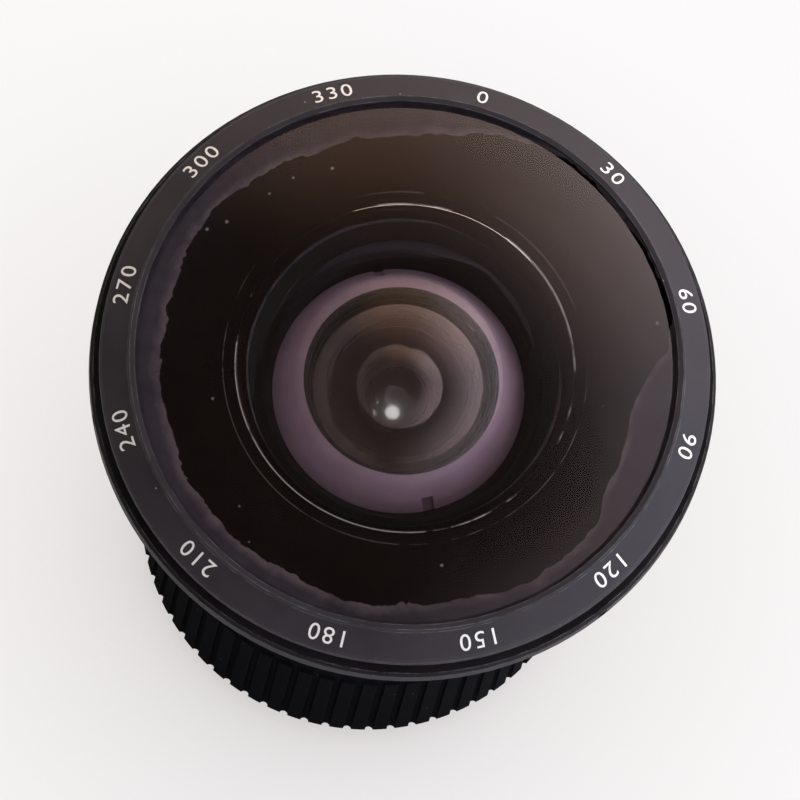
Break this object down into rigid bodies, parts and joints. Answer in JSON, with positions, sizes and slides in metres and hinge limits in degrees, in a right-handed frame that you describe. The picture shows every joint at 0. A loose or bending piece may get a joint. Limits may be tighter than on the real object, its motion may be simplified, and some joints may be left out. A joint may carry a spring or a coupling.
{
  "type": "fisheye lens",
  "caption": "Fisheye camera lens with a domed front glass in a flared barrel, a ribbed click-stop aperture ring geared to a stop disc, and a screw-thread mount at the rear.",
  "frame": {"origin": "on the optical axis, at the rear end of the mount thread, where the lens stands on a table", "axes": "+Z along the optical axis towards the front glass; +X towards the stop disc's pivot"},
  "size_m": [0.078, 0.078, 0.084],
  "materials": {
    "black_anodised": "satin black anodised aluminium, a little faded and worn on its edges",
    "ring_black": "near-black satin anodised aluminium with straight ribs",
    "name_black": "satin black anodised aluminium with white-filled dial numbers",
    "cell_black": "matt black anodised aluminium",
    "worn_anodise": "faded purple-grey anodised aluminium",
    "brass": "turned brass",
    "plated_brass": "satin plated brass",
    "steel": "bright steel",
    "black_steel": "blackened steel",
    "glass_front": "clear optical glass, single-coated",
    "glass_inner": "clear optical glass, single-coated, faint purple reflection",
    "rubber": "thin black rubber",
    "enamel": "white enamel fill"
  },
  "bodies": {
    "barrel": {"t_mount": "black_anodised", "mount_screws": "black_steel", "rear_baffle": "cell_black", "rear_cell": "cell_black", "rear_crown": "glass_inner", "rear_flint": "glass_inner", "rear_retainer": "cell_black", "core_barrel": "black_anodised", "stop_plate": "cell_black", "plate_screws": "steel", "stop_pivot": "steel", "front_plate": "cell_black", "plate_retainer": "cell_black", "index_collar": "black_anodised", "collar_screws": "black_steel", "index_dot": "enamel", "click_spring": "steel", "front_housing": "black_anodised", "front_seal": "rubber", "front_element": "glass_front", "name_ring": "name_black", "rim_screws": "black_steel", "second_cell": "cell_black", "second_element": "glass_inner", "second_retainer": "worn_anodise", "front_cell": "cell_black", "front_crown": "glass_inner", "front_flint": "glass_inner", "front_retainer": "cell_black"},
    "ring": {"aperture_ring": "ring_black", "drive_ring": "brass", "drive_screw": "black_steel"},
    "stops": {"stop_disc": "plated_brass"},
    "click": {"click_ball": "steel"}
  },
  "joints": [
    {"name": "ring_turn", "type": "hinge", "parent": "barrel", "child": "ring", "pos_m": [0, 0, 0.0183], "axis": [0, 0, 1], "range_deg": [0, 83.57]},
    {"name": "stop_turn", "type": "hinge", "parent": "barrel", "child": "stops", "pos_m": [0.008, 0, 0.0153], "axis": [0, 0, 1], "range_deg": [0, 135]},
    {"name": "click_drop", "type": "slide", "parent": "barrel", "child": "click", "axis": [0, 0, -1], "range_m": [0, 0.00025], "stiffness_N_per_m": 5, "springref_m": 0.00025, "deforming": ["click_spring"]}
  ],
  "couplings": [
    {"joint": "stop_turn", "follows": "ring_turn", "ratio": 1.6154}
  ]
}
